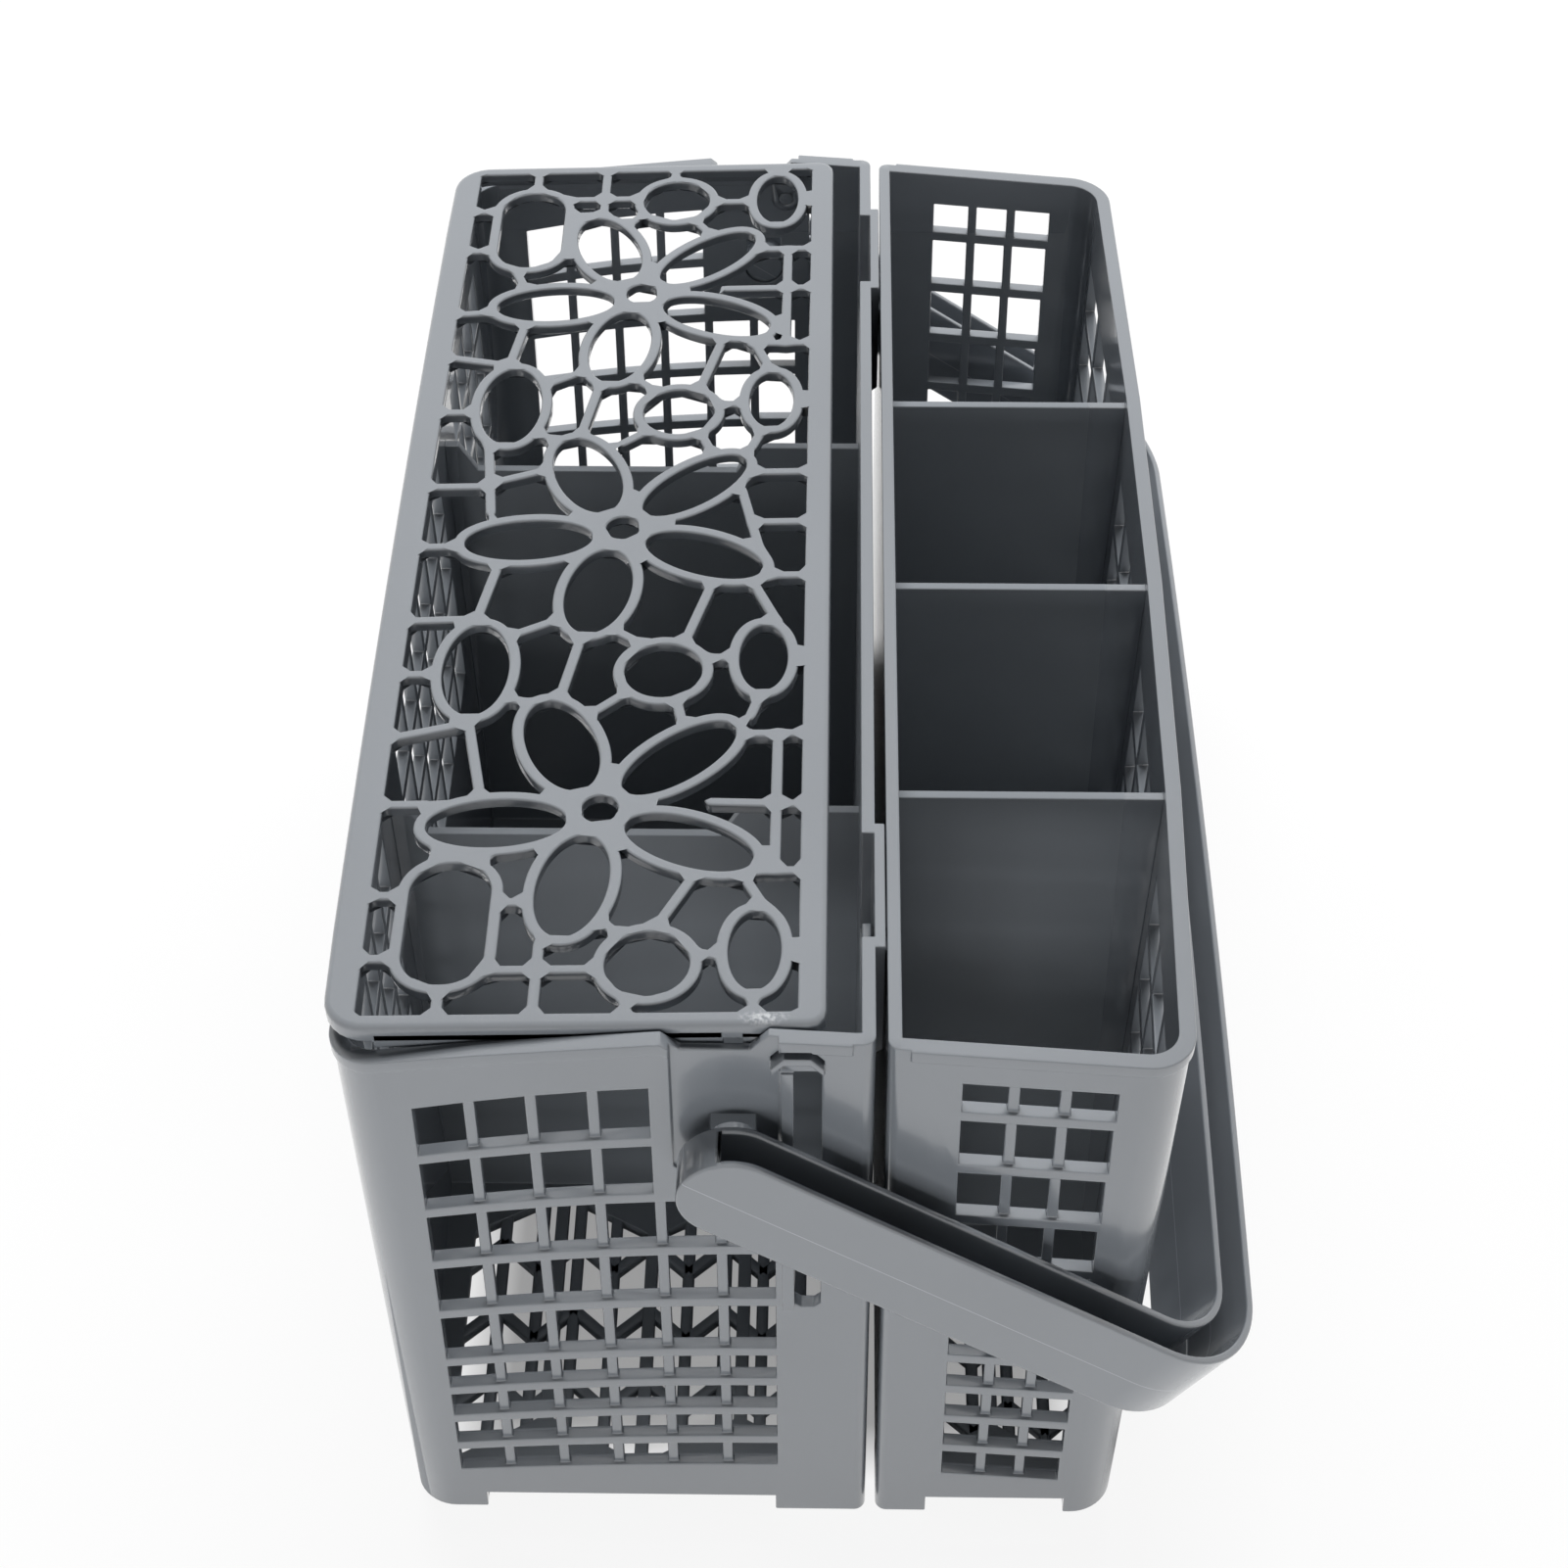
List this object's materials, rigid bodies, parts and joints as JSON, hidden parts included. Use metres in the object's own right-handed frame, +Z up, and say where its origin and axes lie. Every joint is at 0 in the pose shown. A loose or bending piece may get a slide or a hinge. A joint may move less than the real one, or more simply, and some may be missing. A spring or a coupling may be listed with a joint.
{
  "type": "dishwasher cutlery basket",
  "caption": "Grey plastic dishwasher cutlery basket: gridded main basket with a flower-lattice flip lid, a hooked-on open side basket and a folding U-shaped carry handle.",
  "frame": {"origin": "on the surface the basket stands on, below the middle of its overall box with the handle folded down", "axes": "+Z up, +Y along the baskets from the front end wall to the back one, +X from the lidded main basket to the side basket"},
  "size_m": [0.1522, 0.2612, 0.1301],
  "materials": {
    "main_basket": "satin",
    "side_basket": "satin",
    "lid": "satin",
    "carry_handle": "satin"
  },
  "bodies": {
    "main_basket": {"main_basket": "main_basket"},
    "side_basket": {"side_basket": "side_basket"},
    "lid": {"lid": "lid"},
    "carry_handle": {"carry_handle": "carry_handle"}
  },
  "joints": [
    {"name": "lid_hinge", "type": "hinge", "parent": "main_basket", "child": "lid", "pos_m": [-0.00769, 0, 0.1225], "axis": [0, 1, 0], "range_deg": [0, 100]},
    {"name": "handle_pivot", "type": "hinge", "parent": "main_basket", "child": "carry_handle", "pos_m": [-0.01239, 0, 0.1035], "axis": [0, -1, 0], "range_deg": [0, 125]},
    {"name": "side_lift", "type": "slide", "parent": "main_basket", "child": "side_basket", "axis": [0, 0, 1], "range_m": [0, 0.008]}
  ]
}
